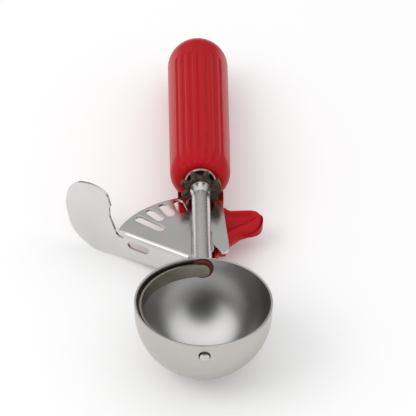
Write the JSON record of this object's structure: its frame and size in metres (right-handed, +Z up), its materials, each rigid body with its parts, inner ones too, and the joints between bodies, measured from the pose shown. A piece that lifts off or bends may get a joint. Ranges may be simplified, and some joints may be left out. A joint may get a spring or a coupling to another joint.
{
  "type": "lever ice cream scoop",
  "caption": "Ice cream disher: hemispherical metal bowl with a geared sweeping scraper, tube shaft, side thumb lever and a fluted red plastic grip.",
  "frame": {"origin": "on the table under the middle of the scoop's bounding box, as it rests on its bowl, its butt and its lever's lower edge", "axes": "+Y from the bowl to the butt of the handle, +Z up out of the bowl's mouth, the thumb lever stands out to -X"},
  "size_m": [0.0798, 0.2078, 0.0319],
  "materials": {
    "bowl_steel": "satin polished stainless steel, spun",
    "tube_steel": "satin polished stainless steel tube",
    "scraper_steel": "brushed stainless strip",
    "plate_steel": "polished stainless sheet with fine grain",
    "rod_steel": "drawn stainless rod",
    "pin_steel": "drawn stainless pin",
    "screw_steel": "plated screw steel",
    "spring_steel": "spring steel",
    "sintered_iron": "oiled sintered iron",
    "ferrule_aluminium": "turned ring, satin",
    "bush_nylon": "moulded nylon, brownish red",
    "washer_nylon": "natural nylon",
    "grip_red": "glossy moulded plastic, red"
  },
  "bodies": {
    "frame": {"bowl": "bowl_steel", "shaft_tube": "tube_steel", "front_bush": "bush_nylon", "thrust_washer": "washer_nylon", "pivot_post": "rod_steel", "spring_sleeve": "washer_nylon", "lever_washer": "washer_nylon", "return_spring": "spring_steel", "post_screw": "screw_steel", "screw_washer": "screw_steel", "handle": "grip_red", "bore_ferrule": "ferrule_aluminium", "rear_bearing": "bush_nylon"},
    "thumb_lever": {"lever": "plate_steel"},
    "scraper_drive": {"drive_rod": "rod_steel", "pinion": "sintered_iron", "pinion_pin": "pin_steel", "rod_clip": "spring_steel", "scraper_blade": "scraper_steel", "nose_pin": "pin_steel"}
  },
  "joints": [
    {"name": "lever_pivot", "type": "hinge", "parent": "frame", "child": "thumb_lever", "pos_m": [0.01404, -0.03158, 0.02215], "axis": [0.0282, -0.0707, -0.9971], "range_deg": [0, 48], "stiffness_Nm_per_rad": 0.07, "springref_deg": -45.84},
    {"name": "scraper_turn", "type": "hinge", "parent": "frame", "child": "scraper_drive", "pos_m": [0.01395, -0.07747, 0.0254], "axis": [-0.002, -0.9975, 0.0707], "range_deg": [0, 180]}
  ],
  "couplings": [
    {"joint": "scraper_turn", "follows": "lever_pivot", "ratio": 3.75}
  ]
}
